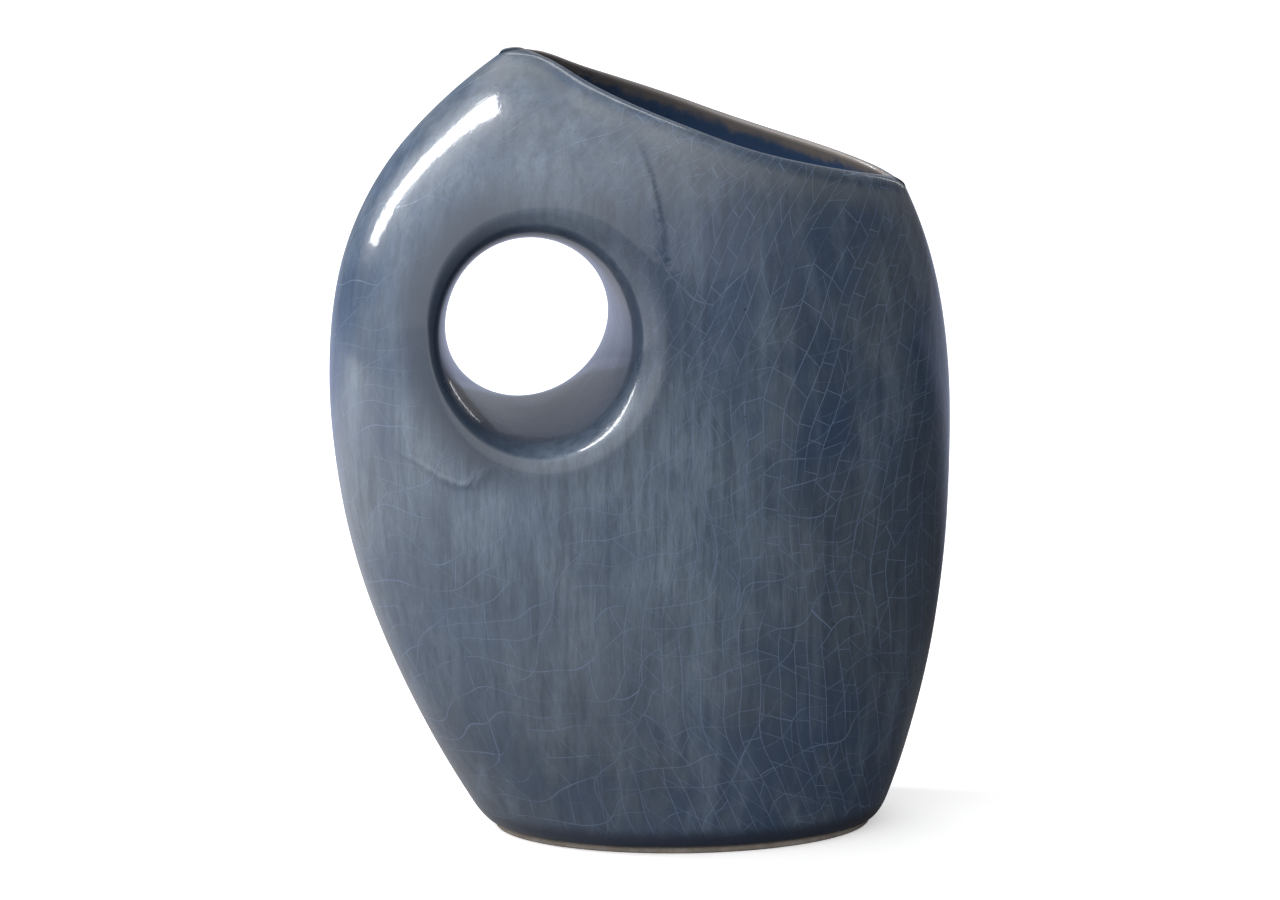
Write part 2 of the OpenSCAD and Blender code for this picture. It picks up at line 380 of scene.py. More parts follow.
class Shell:
    """Points, faces and point values of one piece. `seen` is True for each face that
    shows, and only those faces bend the shared normals."""

    def __init__(self):
        self.points, self.faces, self.seen = [], [], []
        self.skin, self.lip, self.hole, self.flat = [], [], [], []
        self.count = 0

    def add(self, points, skin=0.0, lip=FAR, hole=FAR, flat=None):
        """Adds a row of points and returns their numbers.

        skin 1 follows the wavy surface and 0 stays. lip and hole are distances in mm.
        flat is the (x, z) that a point takes its glaze pattern from, if not its own.
        """
        first = self.count
        size = len(points)
        self.points.append(np.asarray(points, dtype=float))
        self.skin.append(np.broadcast_to(skin, size))
        self.lip.append(np.broadcast_to(lip, size))
        self.hole.append(np.broadcast_to(hole, size))
        self.flat.append(self.points[-1][:, [0, 2]] if flat is None else flat)
        self.count += size
        return np.arange(first, first + size)

    def quads(self, a, b, seen, flip=False, closed=True):
        """Faces between two rows of point numbers. flip turns them over, and closed
        joins the last point of each row to its first."""
        if closed:
            rows = [a, np.roll(a, -1), np.roll(b, -1), b]
        else:
            rows = [a[:-1], a[1:], b[1:], b[:-1]]
        faces = np.stack(rows if flip else rows[::-1], axis=1)
        self.faces.append(faces)
        self.seen.append(np.full(len(faces), seen))

    def finished(self):
        """The piece as a dict of arrays. glaze is (distance round the body, z, 0)."""
        join = np.concatenate
        points, flat = join(self.points), join(self.flat)
        rear = np.where(points[:, 1] > 0, -1, 1)
        around = rear * round_arc(flat[:, 0], flat[:, 1])
        return dict(
            points=points,
            glaze=np.stack([around, flat[:, 1], np.zeros(len(flat))], axis=1),
            faces=join(self.faces),
            seen=join(self.seen),
            skin=join(self.skin),
            lip=join(self.lip),
            hole=join(self.hole),
        )


def hole_distance(xz):
    """Distance in mm outside the crest of the funnel, along the spoke."""
    d = (xz - [HOLE_X, HOLE_Z]) / [1, HOLE_STRETCH]
    r = np.linalg.norm(d, axis=1)
    way = d @ [math.cos(WIDE_WAY), math.sin(WIDE_WAY)] / r
    crest = THROAT_R + mix(FUNNEL_NARROW_W, FUNNEL_W, smooth((1 + way) / 2))
    return (r - crest) / MM


def lip_distance(xz):
    """Distance in mm below the foot of the lip's crest, square to the lip."""
    below = edge_z(xz[:, 0]) - xz[:, 1]
    return below / np.sqrt(1 + slope(LIP, xz[:, 0]) ** 2) / MM


def face_row(side, xz, inset):
    """(x, z) points moved onto a face: side -1 is the front and 1 the rear."""
    y = side * face_y(xz[:, 0], xz[:, 1], inset)
    return np.stack([xz[:, 0], y, xz[:, 1]], axis=1)


def face_rings(shell, side, ring_border, inset, count, seen):
    """One face of a wall, from the sleeve joint out to the border. Returns its rows."""
    rows = []
    start = on_spokes(JOINT_R)
    for k in range(count + 1):
        xz = mix(start, ring_border, math.sin(math.pi / 2 * k / count))
        points = face_row(side, xz, inset)
        if k == count:
            points[at_side, 1] = 0
        lip = lip_distance(xz) if seen else -CREST_SPAN - lip_distance(xz)
        rows.append(shell.add(points, seen, lip, hole_distance(xz)))
    return rows


def unit(v):
    """Vectors scaled to length 1."""
    return v / np.linalg.norm(v, axis=-1, keepdims=True)


def rim_tangent(edge, before):
    """Direction in which a face runs up to the lip, square to the lip."""
    along = unit(np.gradient(edge, axis=0))
    up = edge - before
    up -= (up * along).sum(axis=1)[:, None] * along
    up[0, 1] = up[-1, 1] = 0
    return unit(up)


def crest_rows(shell, outer, inner, outer_before, inner_before):
    """Rounded lip from the outer edge over to the inner edge, as rows of points."""
    out_way = rim_tangent(outer, outer_before)
    in_way = rim_tangent(inner, inner_before)
    from_corner = np.arange(len(outer)) / CREST_FADE
    reach = LIP_RISE * CREST_PULL * mix(CREST_END, 1, smooth(from_corner))[:, None]
    a, b = outer + reach * out_way, inner + reach * in_way
    rows = []
    for c in range(1, CREST_STEPS):
        s = c / CREST_STEPS
        points = (1 - s) ** 3 * outer + 3 * s * (1 - s) ** 2 * a
        points = points + 3 * s**2 * (1 - s) * b + s**3 * inner
        skin = 1 - smooth(s)
        rows.append(shell.add(points, skin, -CREST_SPAN * s))
    return rows


def wall(side):
    """One half of the body: its outer and inner faces, and the lip over them."""
    shell = Shell()
    flip = side > 0
    outer = face_rings(shell, side, outer_border, 0, OUTER_RINGS[side], 1)
    inner = face_rings(shell, side, inner_border, WALL_T, INNER_RINGS, 0)
    for a, b in zip(outer[:-1], outer[1:]):
        shell.quads(a, b, True, flip)
    for a, b in zip(inner[:-1], inner[1:]):
        shell.quads(a, b, True, not flip)
    shell.quads(outer[0], inner[0], False, not flip)
    points = np.concatenate(shell.points)
    lip = np.arange(LIP_FROM, LIP_TO + 1) % BORDER
    ends = [points[row[lip]] for row in (outer[-1], inner[-1], outer[-2], inner[-2])]
    crest = [outer[-1][lip], *crest_rows(shell, *ends), inner[-1][lip]]
    for a, b in zip(crest[:-1], crest[1:]):
        shell.quads(a, b, True, flip, closed=False)
    rest = np.arange(LIP_TO, LIP_FROM + 1 + BORDER) % BORDER
    shell.quads(outer[-1][rest], inner[-1][rest], False, flip, closed=False)
    close_crest_ends(shell, crest, flip)
    return shell.finished()


def close_crest_ends(shell, crest, flip):
    """Flat end faces of the crest, where the front and rear walls meet."""
    for end, turned in ((0, flip), (-1, not flip)):
        loop = np.array([row[end] for row in crest])
        fan = [[loop[0], loop[k], loop[k + 1], loop[k + 1]] for k in range(1, len(loop) - 1)]
        fan = np.array(fan) if turned else np.array(fan)[:, ::-1]
        shell.faces.append(fan)
        shell.seen.append(np.full(len(fan), False))


def funnel_profile(inset, steps):
    """Section of the sleeve from front to rear, as (radius on each spoke, distance from
    the middle plane as a share of the face's)."""
    angles = np.linspace(-math.pi / 2, math.pi / 2, 2 * steps + 1)
    return [(THROAT_R + inset + funnel_w * (1 - math.cos(a)), math.sin(a)) for a in angles]


def sleeve():
    """The hand hole's funnels and throat, with the hidden side that faces the inside."""
    shell = Shell()
    rows = []
    rims = np.linspace(1, 0, FUNNEL_RIM_STEPS, endpoint=False)
    crest = THROAT_R + funnel_w
    seen = [(mix(crest, JOINT_R, s), -1) for s in rims]
    seen += funnel_profile(0, FUNNEL_STEPS)
    seen += [(mix(crest, JOINT_R, s), 1) for s in rims[::-1]]
    for radius, share in seen:
        xz = on_spokes(radius)
        rim = abs(share) == 1
        inside = hole_distance(xz) if rim else (abs(share) - 1) * BELLY / MM
        run = np.hypot(crest - radius, (1 - abs(share)) * BELLY)
        flat = xz if rim else on_spokes(crest * np.exp(-run / crest))
        points = share * face_row(1, xz, 0) * [0, 1, 0] + to_plane(xz)
        rows.append(shell.add(points, 1, hole=inside, flat=flat))
    hidden = [(JOINT_R, 1), *funnel_profile(WALL_T, HIDDEN_STEPS)[::-1], (JOINT_R, -1)]
    for radius, share in hidden:
        xz = on_spokes(radius)
        rows.append(shell.add(share * face_row(1, xz, WALL_T) * [0, 1, 0] + to_plane(xz)))
    for n, (a, b) in enumerate(zip(rows, rows[1:] + rows[:1])):
        joint = n in (len(seen) - 1, len(rows) - 1)
        shell.quads(a, b, not joint, flip=True)
    return shell.finished()


def to_plane(xz):
    """(x, z) points as points in the middle plane."""
    return np.stack([xz[:, 0], np.zeros(len(xz)), xz[:, 1]], axis=1)


def level_outline(z, inset):
    """Level section of the body: along the front, then back along the rear."""
    steps = np.append(ease(BASE_STEPS), 1)
    x = mix(left_x(z, inset), right_x(z, inset), steps)
    y = face_y(x, z, inset)
    y[[0, -1]] = 0
    front = np.stack([x, -y, np.full(len(x), z)], axis=1)
    return np.concatenate([front, (front * [1, -1, 1])[-2:0:-1]])


def floor_slab():
    """The floor, with its rounded lower edge and its two flat faces."""
    shell = Shell()
    rows = []
    for k in range(EDGE_STEPS + 1):
        angle = math.pi / 2 * k / EDGE_STEPS
        z = RING_H + (SEAT_Z - RING_H) * (1 - math.cos(angle))
        rows.append(shell.add(level_outline(z, EDGE_INSET * (1 - math.sin(angle))), 1))
    for a, b in zip(rows[:-1], rows[1:]):
        shell.quads(a, b, True, flip=True)
    cap(shell, rows[0], level_outline(RING_H, EDGE_INSET + CAP_EDGE), False)
    cap(shell, rows[-1], level_outline(SEAT_Z, CAP_EDGE), True)
    return shell.finished()


def cap(shell, rim, outline, flip):
    """Closes a level outline with a narrow border and then straight across."""
    row = shell.add(outline)
    shell.quads(rim, row, False, flip)
    near = np.arange(BASE_STEPS)
    across = np.stack([near, near + 1, -near - 1, -near], axis=1) % len(row)
    faces = row[across]
    shell.faces.append(faces if flip else faces[:, ::-1])
    shell.seen.append(np.full(len(faces), True))


def foot_ring():
    """Ring of bare clay with eased edges, as rings of points round an ellipse."""
    left, right = ring_low.x, ring_high.x
    half_l, half_w, bevel = (right - left) / 2, ring_high.y, RING_BEVEL
    turns = np.linspace(0, 2 * math.pi, RING_STEPS, endpoint=False)
    curls = [(bevel * (1 - math.cos(a)), bevel * (1 - math.sin(a))) for a in BEVEL_ANGLES]
    section = [(0, RING_H), (0, bevel), *curls]
    section += [(bevel, 0), (RING_W - bevel, 0)]
    section += [(RING_W - side, rise) for rise, side in curls]
    section += [(RING_W, bevel), (RING_W, RING_H)]
    shell = Shell()
    rows = []
    for inset, z in section:
        x = (left + right) / 2 + (half_l - inset) * np.cos(turns)
        y = (half_w - inset) * np.sin(turns)
        rows.append(shell.add(np.stack([x, y, np.full(len(x), z)], axis=1)))
    for a, b in zip(rows, rows[1:] + rows[:1]):
        shell.quads(a, b, True)
    return shell.finished()


# ---- Shared normals and meshes --------------------------------------------------


def face_normals(points, faces):
    """Normal of each face, as long as twice the face's area."""
    a, b, c, d = (points[faces[:, k]] for k in range(4))
    return np.cross(c - a, d - b)


def shared_normals(pieces):
    """Smooth normals across every piece, so no joint between two pieces shows."""
    points = np.concatenate([p["points"] for p in pieces])
    keys = np.round(points / WELD).astype(np.int64)
    _, weld = np.unique(keys, axis=0, return_inverse=True)
    weld = weld.ravel()
    total = np.zeros((weld.max() + 1, 3))
    first = 0
    for p in pieces:
        faces = p["faces"][p["seen"]]
        normals = face_normals(p["points"], faces)
        for k in range(4):
            np.add.at(total, weld[first + faces[:, k]], normals)
        first += len(p["points"])
    lengths = np.linalg.norm(total, axis=1)[:, None]
    total = np.where(lengths > 0, total / np.maximum(lengths, 1e-30), [0, 0, 1])
    split = np.cumsum([len(p["points"]) for p in pieces])[:-1]
    return np.split(total[weld], split)


def make_object(name, piece, normals, material):
    """A mesh object from a piece's arrays, smooth, with its own normals and values."""
    faces = [list(dict.fromkeys(f)) for f in piece["faces"].tolist()]
    mesh = bpy.data.meshes.new(name)
    mesh.from_pydata(piece["points"].tolist(), [], [f for f in faces if len(f) > 2])
    for key in ("lip", "hole"):
        layer = mesh.attributes.new(key, "FLOAT", "POINT")
        layer.data.foreach_set("value", piece[key].astype(np.float32))
    layer = mesh.attributes.new("glaze", "FLOAT_VECTOR", "POINT")
    layer.data.foreach_set("vector", piece["glaze"].astype(np.float32).ravel())
    mesh.polygons.foreach_set("use_smooth", [True] * len(mesh.polygons))
    mesh.validate()
    if normals is not None:
        mesh.normals_split_custom_set_from_vertices(normals.tolist())
    mesh.materials.append(material)
    made = bpy.data.objects.new(name, mesh)
    bpy.context.scene.collection.objects.link(made)
    return made


# ---- Materials ------------------------------------------------------------------

# Glaze colours, linear.
WHITE = (1, 1, 1, 1)
GREY = (0.074, 0.096, 0.126, 1)
BLUE = (0.036, 0.066, 0.125, 1)
PALE = (0.12, 0.145, 0.175, 1)
# The next two colours make the pale patch, which is partly painted light; the first is also the
# glaze of the drips.
MILKY_AND_LIT = (0.185, 0.245, 0.32, 1)
MILKY_LIT_DARK = (0.12, 0.168, 0.235, 1)
# The next colour darkens the brush streaks and is also painted shade round the hand hole.
DEEP = (0.03, 0.045, 0.075, 1)
BLUE_SPOT = (0.04, 0.076, 0.155, 1)
CRACK_BLUE = (0.17, 0.24, 0.38, 1)
IRON = (0.012, 0.014, 0.02, 1)
THIN = (0.21, 0.22, 0.22, 1)
TAN = (0.37, 0.32, 0.285, 1)
# Navy glaze of the inside, lightened as painted light for light that does not reach in.
NAVY_LIT = (0.06, 0.115, 0.235, 1)
# Darker colour towards the foot.
FOOT_DARK = (0.014, 0.023, 0.046, 1)
FOOT_LINE = (0.12, 0.115, 0.115, 1)
# Painted shade deep in the hand hole's throat.
THROAT_SHADE_COLOUR = (0.03, 0.036, 0.07, 1)

# Bare clay colours, linear.
CLAY_DARK = (0.25, 0.215, 0.185, 1)
CLAY = (0.35, 0.31, 0.275, 1)
GROG = (0.16, 0.1, 0.065, 1)

# Studio floor colours, linear. The last three are met only by reflected and bounced light.
FLOOR_SEEN = (0.93, 0.93, 0.93, 1)
FLOOR_PALE = (0.9, 0.9, 0.93, 1)
FLOOR_DARK = (0.03, 0.03, 0.035, 1)
FLOOR_BEHIND = (0.36, 0.39, 0.52, 1)
FLOOR_DARKENS = (-0.7, 0.32)  # metres across, from pale to dark
FLOOR_TURNS = (0.15, 0.6)  # metres behind the vase, to lavender
FLOOR_GLOW = 0.45  # emission that only the camera sees

# Where the body's colour changes: from a first place to a second, across or up.
# The pale patch is partly painted light: palest where the light falls, on the left and middle,
# fading at the foot, the neck and the far left.
MILKY_LIT_ACROSS = (90 * MM, 40 * MM)
MILKY_LIT_DRIFT = 60 * MM  # how far the clouds move that change sideways
MILKY_LIT_OVER_FOOT = (20 * MM, 110 * MM)
MILKY_LIT_UNDER_NECK = (235 * MM, 185 * MM)
MILKY_LIT_FROM_LEFT = (-90 * MM, -45 * MM)
BLUE_SPOT_AT = (14 * MM, 0, 188 * MM)
BLUE_SPOT_R = (36 * MM, 10 * MM)
BLUE_SPOT_DRIFT = 40 * MM
FOOT_DARK_Z = (10 * MM, 5 * MM)
FOOT_LINE_Z = (3.0 * MM, 2.2 * MM)
HOLE_SHADE_X = (HOLE_X + 5 * MM, HOLE_X - 20 * MM)

# Where the glaze changes over the lip, as values of `lip`, and where painted shade lies in and
# round the hole, of `hole`.
THIN_ABOVE = (11, 2.5)
THIN_UNTIL = (0.5, 2.5)
TAN_CREST = (-2.5, -4.5)
# The navy band is glaze lightened as painted light.
NAVY_LIT_BAND = (-6.5, -9.5)
TAN_CLOUDS = (-12, -17)
TAN_END = (-36, -24)
HOLE_SHADE = (14, 2)
THROAT_SHADE = (-2, -20)

# Crackle lines: degrees from level, and the gaps of the long and of the short lines.
UPRIGHT_LINES = (76, 5.5 * MM, 10 * MM)
FLAT_LINES = (14, 7.5 * MM, 14 * MM)
ARC_LINES = (48, 26 * MM, 70 * MM)
UPRIGHT_FROM = (-45 * MM, 25 * MM)
FLAT_UNDER = (190 * MM, 120 * MM)
CRACK_W = 0.16 * MM
CRACK_CORE = 0.35  # share of a line's width at its full strength
LINE_JITTER = 0.85  # how unevenly the lines are spaced, from 0 to 1
SHORT_SLANT = 2.2  # how much the short lines lean from band to band
SHORT_SHIFT = 57.0  # how many short gaps they are shifted from band to band

# Noise and speck scales, in cells a metre. The noise lies mostly from 0.3 to 0.7.
CLOUD = 17
HAZE = 52
DRIP = 120
STREAK = 330
FINE_STREAK = 1500
SWAY = 16
SWAY_2 = 27
PATCH = 45
SPECK = 210
BROKEN_EDGE = 240
CLAY_MOTTLE = 120
CLAY_GROG = 1400

SPECK_SHARE = 0.982  # only cells with a higher random number have a speck
WANDER = 5.0  # mm over which the noise moves the bands at the lip
FOOT_DARK_WANDER = 0.4 * MM  # how far a wander of 1 moves the line where the colour turns darker towards the foot

# Gloss.
GLASS_IOR = 1.5
COAT_WEIGHT = 0.8
COAT_ROUGHNESS = 0.06


class Graph:
    """A node material and short ways to add to it."""

    def __init__(self, name):
        self.material = bpy.data.materials.new(name)
        self.material.use_nodes = True
        self.tree = self.material.node_tree
        self.shader = self.tree.nodes["Principled BSDF"]

    def node(self, kind, inputs=None, **settings):
        """A new node, with its settings and its inputs by name or number."""
        made = self.tree.nodes.new(kind)
        for key, value in settings.items():
            setattr(made, key, value)
        for key, value in (inputs or {}).items():
            self.put(made.inputs[key], value)
        return made

    def put(self, socket, value):
        """Links an output to the socket, or sets a constant."""
        if isinstance(value, bpy.types.NodeSocket):
            self.tree.links.new(value, socket)
        else:
            socket.default_value = value

    def math(self, operation, a, b):
        return self.node("ShaderNodeMath", {0: a, 1: b}, operation=operation).outputs[0]

    def span(self, value, start, end, low=0.0, high=1.0):
        """value from start..end to low..high, eased and clamped."""
        inputs = {"Value": value, "From Min": start, "From Max": end, "To Min": low, "To Max": high}
        return self.node("ShaderNodeMapRange", inputs, interpolation_type="SMOOTHSTEP").outputs[0]

    def colours(self, factor, a, b):
        """Colour a where factor is 0, and b where it is 1."""
        made = self.node("ShaderNodeMix", data_type="RGBA")
        self.put(made.inputs[0], factor)
        self.put(made.inputs[6], a)
        self.put(made.inputs[7], b)
        return made.outputs[2]

    def noise(self, vector, scale, detail, roughness):
        inputs = {"Vector": vector, "Scale": scale, "Detail": detail, "Roughness": roughness}
        return self.node("ShaderNodeTexNoise", inputs).outputs["Fac"]

    def stretched(self, vector, scale):
        return self.node("ShaderNodeMapping", {"Vector": vector, "Scale": scale}).outputs[0]

    def value(self, name):
        """A value stored on the mesh's points."""
        return self.node("ShaderNodeAttribute", attribute_name=name).outputs["Fac"]


def cracks(g, place, warp, angle, spacing, cross):
    """Crackle lines, 1 on a line: long ones about `spacing` apart that run at `angle`
    degrees to the level, and shorter ones about `cross` apart between each pair."""
    a = math.radians(angle)
    over, along = (-math.sin(a), math.cos(a), 0), (math.cos(a), math.sin(a), 0)

    def run(way, step, sway):
        """Distance along a direction in steps, swayed by the warp."""
        way = tuple(c / step for c in way)
        made = g.node("ShaderNodeVectorMath", {0: place, 1: way}, operation="DOT_PRODUCT")
        return g.math("ADD", made.outputs["Value"], g.math("MULTIPLY", warp, sway / step))

    def cells(where, feature):
        inputs = {"W": where, "Scale": 1.0, "Randomness": LINE_JITTER}
        kind = "ShaderNodeTexVoronoi"
        return g.node(kind, inputs, voronoi_dimensions="1D", feature=feature)

    far = run(over, spacing, LONG_SWAY)
    long_gap = g.math("MULTIPLY", cells(far, "DISTANCE_TO_EDGE").outputs["Distance"], spacing)
    key = g.node("ShaderNodeSeparateColor", {0: cells(far, "F1").outputs["Color"]})
    lean = SHORT_SLANT * spacing / cross
    slant = g.math("MULTIPLY", g.math("SUBTRACT", key.outputs[1], 0.5), lean)
    place_in_band = g.math("ADD", run(along, cross, CROSS_SWAY), g.math("MULTIPLY", far, slant))
    place_in_band = g.math("ADD", place_in_band, g.math("MULTIPLY", key.outputs[0], SHORT_SHIFT))
    short_gap = cells(place_in_band, "DISTANCE_TO_EDGE").outputs["Distance"]
    short_gap = g.math("MULTIPLY", short_gap, cross)
    gap = g.math("MINIMUM", long_gap, short_gap)
    return g.span(gap, CRACK_CORE * CRACK_W, CRACK_W, 1.0, 0.0)


def body_colour(g, place, x, z, cloud, haze):
    """Cloudy slate blue, paler over the left and middle, with a bluer spot on the front."""
    colour = g.colours(g.span(cloud, 0.36, 0.64), GREY, BLUE)
    colour = g.colours(g.span(haze, 0.46, 0.72, 0, 0.55), colour, PALE)
    # Partly painted light: a pale cloudy patch where the light falls, over the left and middle.
    drifted = g.math("ADD", x, g.math("MULTIPLY", cloud, MILKY_LIT_DRIFT))
    paler = g.math("MULTIPLY", g.span(drifted, *MILKY_LIT_ACROSS), g.span(z, *MILKY_LIT_OVER_FOOT))
    paler = g.math("MULTIPLY", paler, g.span(z, *MILKY_LIT_UNDER_NECK, 0.15, 0.75))
    paler = g.math("MULTIPLY", paler, g.span(x, *MILKY_LIT_FROM_LEFT, 0.3, 1))
    milky_lit_colour = g.colours(g.span(haze, 0.36, 0.64), MILKY_LIT_DARK, MILKY_AND_LIT)
    colour = g.colours(paler, colour, milky_lit_colour)
    flattened = g.stretched(place, (1, 0, 1))
    inputs = {0: flattened, 1: BLUE_SPOT_AT}
    away = g.node("ShaderNodeVectorMath", inputs, operation="DISTANCE").outputs["Value"]
    drift = g.math("MULTIPLY", g.math("SUBTRACT", haze, 0.5), BLUE_SPOT_DRIFT)
    away = g.math("ADD", away, drift)
    front = g.math("LESS_THAN", g.node("ShaderNodeSeparateXYZ", {0: place}).outputs[1], 0.0)
    spot = g.math("MULTIPLY", g.span(away, *BLUE_SPOT_R, 0, 0.65), front)
    return g.colours(spot, colour, BLUE_SPOT)


def streaks(g, place, colour):
    """Brush streaks over the colour. Returns the new colour and the streaks' relief."""
    drip = g.noise(g.stretched(place, (1, 1, 0.1)), DRIP, 2, 0.5)
    streak = g.noise(g.stretched(place, (1, 1, 0.09)), STREAK, 3, 0.6)
    fine = g.noise(g.stretched(place, (1, 1, 0.16)), FINE_STREAK, 2, 0.5)
    colour = g.colours(g.span(drip, 0.48, 0.7, 0, 0.3), colour, MILKY_AND_LIT)
    colour = g.colours(g.span(streak, 0.42, 0.7, 0, 0.45), colour, DEEP)
    colour = g.colours(g.span(fine, 0.3, 0.75, 0, 0.28), colour, DEEP)
    relief = g.math("ADD", g.math("MULTIPLY", streak, 0.5), g.math("MULTIPLY", fine, 0.12))
    return colour, relief


def crackle_lines(g, x, z):
    """Crackle: upright and close on the right, flatter and sparser low on the left."""
    skin = g.node("ShaderNodeAttribute", attribute_name="glaze").outputs["Vector"]
    sway = g.math("SUBTRACT", g.noise(skin, SWAY, 1, 0.5), 0.5)
    sway_2 = g.math("SUBTRACT", g.noise(skin, SWAY_2, 1, 0.5), 0.5)
    patch = g.noise(skin, PATCH, 2, 0.5)
    on_right = g.math("MULTIPLY", g.span(x, *UPRIGHT_FROM), g.span(patch, 0.34, 0.5, 0.35, 1))
    upright = g.math("MULTIPLY", cracks(g, skin, sway, *UPRIGHT_LINES), on_right)
    fewer = g.span(patch, 0.6, 0.42, 0.2, 0.9)
    low = g.math("MULTIPLY", g.span(z, *FLAT_UNDER, 0.2, 1), fewer)
    flat = g.math("MULTIPLY", cracks(g, skin, sway_2, *FLAT_LINES), low)
    sparse = g.span(patch, 0.35, 0.6, 0.2, 0.8)
    arcs = g.math("MULTIPLY", cracks(g, skin, sway_2, *ARC_LINES), sparse)
    return g.math("MAXIMUM", g.math("MAXIMUM", upright, flat), arcs)


def iron_specks(g, place, colour):
    """Dark specks, in about two of every hundred cells."""
    inputs = {"Vector": place, "Scale": SPECK, "Randomness": 1.0}
    dots = g.node("ShaderNodeTexVoronoi", inputs, feature="F1")
    key = g.node("ShaderNodeSeparateColor", {0: dots.outputs["Color"]}).outputs[0]
    inside = g.span(dots.outputs["Distance"], 0.11, 0.06)
    speck = g.math("MULTIPLY", inside, g.math("GREATER_THAN", key, SPECK_SHARE))
    return g.colours(g.math("MULTIPLY", speck, 0.7), colour, IRON)


def lip_and_mouth(g, colour, lip, wander):
    """Glaze runs thin under the lip and tan over it, then navy, lightened as painted light, and tan
    inside the mouth.
    """
    lip_line = g.math("ADD", lip, wander)
    veil = g.math("MULTIPLY", g.span(lip_line, *THIN_ABOVE, 0, 0.26), g.span(lip, *THIN_UNTIL))
    colour = g.colours(veil, colour, THIN)
    colour = g.colours(g.span(lip, *TAN_CREST, 0, 0.75), colour, TAN)
    # Painted light: navy glaze inside the mouth, lightened where light does not reach.
    colour = g.colours(g.span(lip_line, *NAVY_LIT_BAND), colour, NAVY_LIT)
    cloudy = g.math("MULTIPLY", g.span(lip_line, *TAN_CLOUDS, 0, 0.6), g.span(lip, *TAN_END))
    return g.colours(cloudy, colour, TAN)


def foot_and_hole(g, colour, x, z, hole, wander):
    """Darker towards the foot, with a line at its edge, and painted shade round the hand hole and
    deep in its throat.
    """
    # Darker towards the foot, along a wandering line.
    foot_dark_height = g.math("ADD", z, g.math("MULTIPLY", wander, FOOT_DARK_WANDER))
    colour = g.colours(g.span(foot_dark_height, *FOOT_DARK_Z, 0, 0.92), colour, FOOT_DARK)
    colour = g.colours(g.span(z, *FOOT_LINE_Z, 0, 0.5), colour, FOOT_LINE)
    # Painted shade: dark round the hand hole, most on its left, and darker deeper in its throat.
    left_of_hole = g.span(x, *HOLE_SHADE_X, 0.35, 0.9)
    around = g.math("MULTIPLY", g.span(hole, *HOLE_SHADE), left_of_hole)
    colour = g.colours(around, colour, DEEP)
    return g.colours(g.span(hole, *THROAT_SHADE, 0, 0.75), colour, THROAT_SHADE_COLOUR)


def crackle_glaze():
    """The whole glaze: colour, gloss and fine relief."""
    g = Graph("slate_blue_crackle_glaze")
    place = g.node("ShaderNodeTexCoord").outputs["Object"]
    parts = g.node("ShaderNodeSeparateXYZ", {0: place})
    x, z = parts.outputs[0], parts.outputs[2]
    cloud = g.noise(place, CLOUD, 4, 0.55)
    haze = g.noise(g.stretched(place, (1, 1, 0.6)), HAZE, 4, 0.6)
    colour = body_colour(g, place, x, z, cloud, haze)
    colour, relief = streaks(g, place, colour)
    crackle = crackle_lines(g, x, z)
    colour = g.colours(g.math("MULTIPLY", crackle, 0.62), colour, CRACK_BLUE)
    colour = iron_specks(g, place, colour)
    broken = g.noise(g.stretched(place, (1, 1, 0.4)), BROKEN_EDGE, 3, 0.6)
    wander = g.math("MULTIPLY", g.math("SUBTRACT", broken, 0.5), WANDER)
    colour = lip_and_mouth(g, colour, g.value("lip"), wander)
    colour = foot_and_hole(g, colour, x, z, g.value("hole"), wander)

    g.put(g.shader.inputs["Base Color"], colour)
    gloss = g.math("ADD", g.span(haze, 0.3, 0.7, 0.26, 0.36), g.math("MULTIPLY", crackle, 0.06))
    g.put(g.shader.inputs["Roughness"], gloss)
    g.shader.inputs["Coat Weight"].default_value = COAT_WEIGHT
    g.shader.inputs["Coat Roughness"].default_value = COAT_ROUGHNESS
    g.shader.inputs["Coat IOR"].default_value = GLASS_IOR
    g.shader.inputs["IOR"].default_value = GLASS_IOR

    relief = g.math("ADD", relief, g.math("MULTIPLY", haze, 0.8))
    relief = g.math("SUBTRACT", relief, g.math("MULTIPLY", crackle, 0.12))
    bump = g.node("ShaderNodeBump", {"Height": relief, "Strength": 0.35, "Distance": 0.25 * MM})
    g.put(g.shader.inputs["Normal"], bump.outputs[0])
    g.put(g.shader.inputs["Coat Normal"], bump.outputs[0])
    return g.material


def bare_clay():
    """Mottled, matt stoneware with coarse grains of grog."""
    g = Graph("bare_stoneware")
    place = g.node("ShaderNodeTexCoord").outputs["Object"]
    mottle = g.noise(place, CLAY_MOTTLE, 5, 0.65)
    grog = g.noise(place, CLAY_GROG, 2, 0.6)
    colour = g.colours(g.span(mottle, 0.35, 0.65), CLAY_DARK, CLAY)
    colour = g.colours(g.span(grog, 0.6, 0.72, 0, 0.6), colour, GROG)
    g.put(g.shader.inputs["Base Color"], colour)
    g.put(g.shader.inputs["Roughness"], g.span(mottle, 0.3, 0.7, 0.72, 0.9))
    bump = g.node("ShaderNodeBump", {"Height": grog, "Strength": 0.5, "Distance": 0.2 * MM})
    g.put(g.shader.inputs["Normal"], bump.outputs[0])
    return g.material


